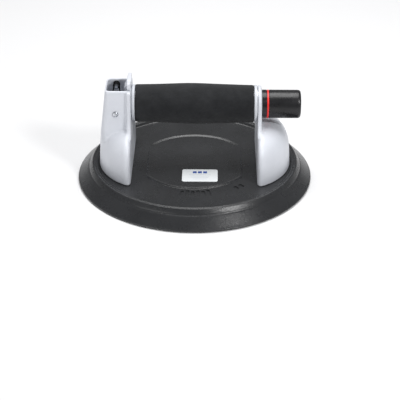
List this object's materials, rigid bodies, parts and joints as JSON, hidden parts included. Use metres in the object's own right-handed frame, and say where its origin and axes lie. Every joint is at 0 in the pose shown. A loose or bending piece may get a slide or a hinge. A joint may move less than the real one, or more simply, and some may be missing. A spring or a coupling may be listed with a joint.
{
  "type": "vacuum suction cup",
  "caption": "Hand-held vacuum lifting cup: rubber disc, cast ears, foam grip, push pump with warning ring, and release lever.",
  "frame": {"origin": "centre of the sealing lip's face, on the surface the cup is pressed to", "axes": "+Z away from that surface, +X along the handle towards the pump knob, -Y the front with the label"},
  "size_m": [0.21, 0.21, 0.0945],
  "materials": {
    "cup_rubber": "satin moulded rubber, dark grey",
    "seal_rubber": "smooth black rubber",
    "grip_foam": "matte closed-cell foam, near black",
    "grey_casting": "satin light grey paint on a casting",
    "grey_collar": "satin light grey plastic",
    "black_plastic": "satin black moulded plastic",
    "red_plastic": "bright red plastic band",
    "label_face": "white printed film",
    "zinc_steel": "zinc-plated steel",
    "spring_steel": "bright drawn spring wire",
    "black_spring": "black oiled spring wire",
    "pump_aluminium": "drawn aluminium tube",
    "brass": "machined brass",
    "filter_felt": "pressed felt",
    "air_tube": "milky polyamide tube"
  },
  "bodies": {
    "base": {"suction_cup": "cup_rubber", "backing_plate": "zinc_steel", "face_pad": "cup_rubber", "filter_felt": "filter_felt", "cup_port": "brass", "label": "label_face", "left_ear": "grey_casting", "right_ear": "grey_casting", "ear_screw_1": "zinc_steel", "ear_screw_2": "zinc_steel", "ear_screw_3": "zinc_steel", "ear_screw_4": "zinc_steel", "ear_washer_1": "zinc_steel", "ear_washer_2": "zinc_steel", "ear_washer_3": "zinc_steel", "ear_washer_4": "zinc_steel", "pump_cylinder": "pump_aluminium", "cylinder_cap": "black_plastic", "cap_ring": "seal_rubber", "foam_grip": "grip_foam", "left_collar": "grey_collar", "right_collar": "grey_collar", "wiper_seal": "seal_rubber", "lever_pin": "zinc_steel", "spring_post": "zinc_steel", "lever_spring": "black_spring", "return_spring": "spring_steel", "valve_body": "brass", "valve_spring": "spring_steel", "air_tube": "air_tube"},
    "plunger": {"pump_knob": "black_plastic", "indicator_ring": "red_plastic", "piston_seal": "seal_rubber", "piston_head": "black_plastic"},
    "lever": {"release_lever": "grey_casting"},
    "valve": {"valve_stem": "zinc_steel", "valve_disc": "seal_rubber"}
  },
  "joints": [
    {"name": "pump_stroke", "type": "slide", "parent": "base", "child": "plunger", "axis": [-1, 0, 0], "range_m": [0, 0.032], "stiffness_N_per_m": 150, "springref_m": -0.02, "deforming": ["return_spring"]},
    {"name": "lever_tilt", "type": "hinge", "parent": "base", "child": "lever", "pos_m": [-0.069, 0, 0.0675], "axis": [0, 1, 0], "range_deg": [-10, 0], "stiffness_Nm_per_rad": 0.08, "springref_deg": 17.19, "deforming": ["lever_spring"]},
    {"name": "valve_lift", "type": "slide", "parent": "base", "child": "valve", "axis": [0, 0, -1], "range_m": [0, 0.0013], "deforming": ["valve_spring"]}
  ],
  "couplings": [
    {"joint": "valve_lift", "follows": "lever_tilt", "m_per_rad": -0.007}
  ]
}
